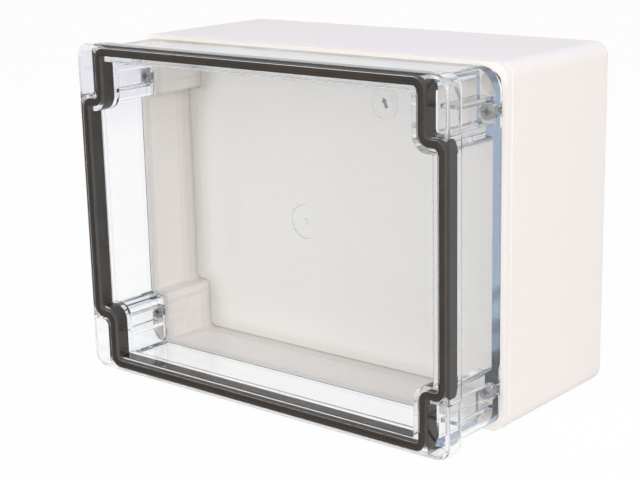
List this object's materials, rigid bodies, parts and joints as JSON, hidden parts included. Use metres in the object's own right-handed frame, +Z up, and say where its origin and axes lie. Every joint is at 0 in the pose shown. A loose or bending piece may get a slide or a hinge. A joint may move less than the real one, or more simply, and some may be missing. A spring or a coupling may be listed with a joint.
{
  "type": "plastic enclosure",
  "caption": "Rectangular moulded box with a deep clear lid, a stepped rubber seal in the lid's rim, captive lid screws in hollow corner columns and a mounting plate inside.",
  "frame": {"origin": "middle of the underside, under the centre of the whole box with its lid on", "axes": "+X to the right seen from the lid, +Y from the lid towards the back, +Z up"},
  "size_m": [0.16, 0.095, 0.12],
  "materials": {
    "box_plastic": "fine even texture, off-white",
    "plate_laminate": "smooth light grey",
    "clear_polycarbonate": "polished, clear, faintly blue in the edges",
    "seal_rubber": "matt brown-black",
    "screw_nylon": "moulded, mid grey, satin",
    "ring_steel": "dark spring steel",
    "insert_brass": "plain",
    "nickel_steel": "nickel plated"
  },
  "bodies": {
    "base": {"base": "box_plastic", "mounting_plate": "plate_laminate", "plate_studs": "nickel_steel", "pillar_1": "nickel_steel", "pillar_2": "nickel_steel", "pillar_3": "nickel_steel", "pillar_4": "nickel_steel", "threaded_insert_1": "insert_brass", "threaded_insert_2": "insert_brass", "threaded_insert_3": "insert_brass", "threaded_insert_4": "insert_brass"},
    "lid": {"lid": "clear_polycarbonate", "gasket": "seal_rubber"},
    "ring_1": {"retaining_ring_1": "ring_steel"},
    "screw_1": {"lid_screw_1": "screw_nylon"},
    "ring_2": {"retaining_ring_2": "ring_steel"},
    "screw_2": {"lid_screw_2": "screw_nylon"},
    "ring_3": {"retaining_ring_3": "ring_steel"},
    "screw_3": {"lid_screw_3": "screw_nylon"},
    "ring_4": {"retaining_ring_4": "ring_steel"},
    "screw_4": {"lid_screw_4": "screw_nylon"}
  },
  "joints": [
    {"name": "lid_pull", "type": "slide", "parent": "base", "child": "lid", "axis": [0, -1, 0], "range_m": [0, 0.08]},
    {"name": "ring_travel_1", "type": "slide", "parent": "lid", "child": "ring_1", "axis": [0, -1, 0], "range_m": [0, 0.0055]},
    {"name": "screw_turn_1", "type": "hinge", "parent": "ring_1", "child": "screw_1", "pos_m": [0.0749, -0.0205, 0.1053], "axis": [0, -1, 0], "range_deg": [0, 3960.1]},
    {"name": "ring_travel_2", "type": "slide", "parent": "lid", "child": "ring_2", "axis": [0, -1, 0], "range_m": [0, 0.0055]},
    {"name": "screw_turn_2", "type": "hinge", "parent": "ring_2", "child": "screw_2", "pos_m": [-0.0749, -0.0205, 0.1053], "axis": [0, -1, 0], "range_deg": [0, 3960.1]},
    {"name": "ring_travel_3", "type": "slide", "parent": "lid", "child": "ring_3", "axis": [0, -1, 0], "range_m": [0, 0.0055]},
    {"name": "screw_turn_3", "type": "hinge", "parent": "ring_3", "child": "screw_3", "pos_m": [-0.0749, -0.0205, 0.0147], "axis": [0, -1, 0], "range_deg": [0, 3960.1]},
    {"name": "ring_travel_4", "type": "slide", "parent": "lid", "child": "ring_4", "axis": [0, -1, 0], "range_m": [0, 0.0055]},
    {"name": "screw_turn_4", "type": "hinge", "parent": "ring_4", "child": "screw_4", "pos_m": [0.0749, -0.0205, 0.0147], "axis": [0, -1, 0], "range_deg": [0, 3960.1]}
  ],
  "couplings": [
    {"joint": "screw_turn_1", "follows": "ring_travel_1", "rad_per_m": 12566},
    {"joint": "screw_turn_2", "follows": "ring_travel_2", "rad_per_m": 12566},
    {"joint": "screw_turn_3", "follows": "ring_travel_3", "rad_per_m": 12566},
    {"joint": "screw_turn_4", "follows": "ring_travel_4", "rad_per_m": 12566}
  ]
}
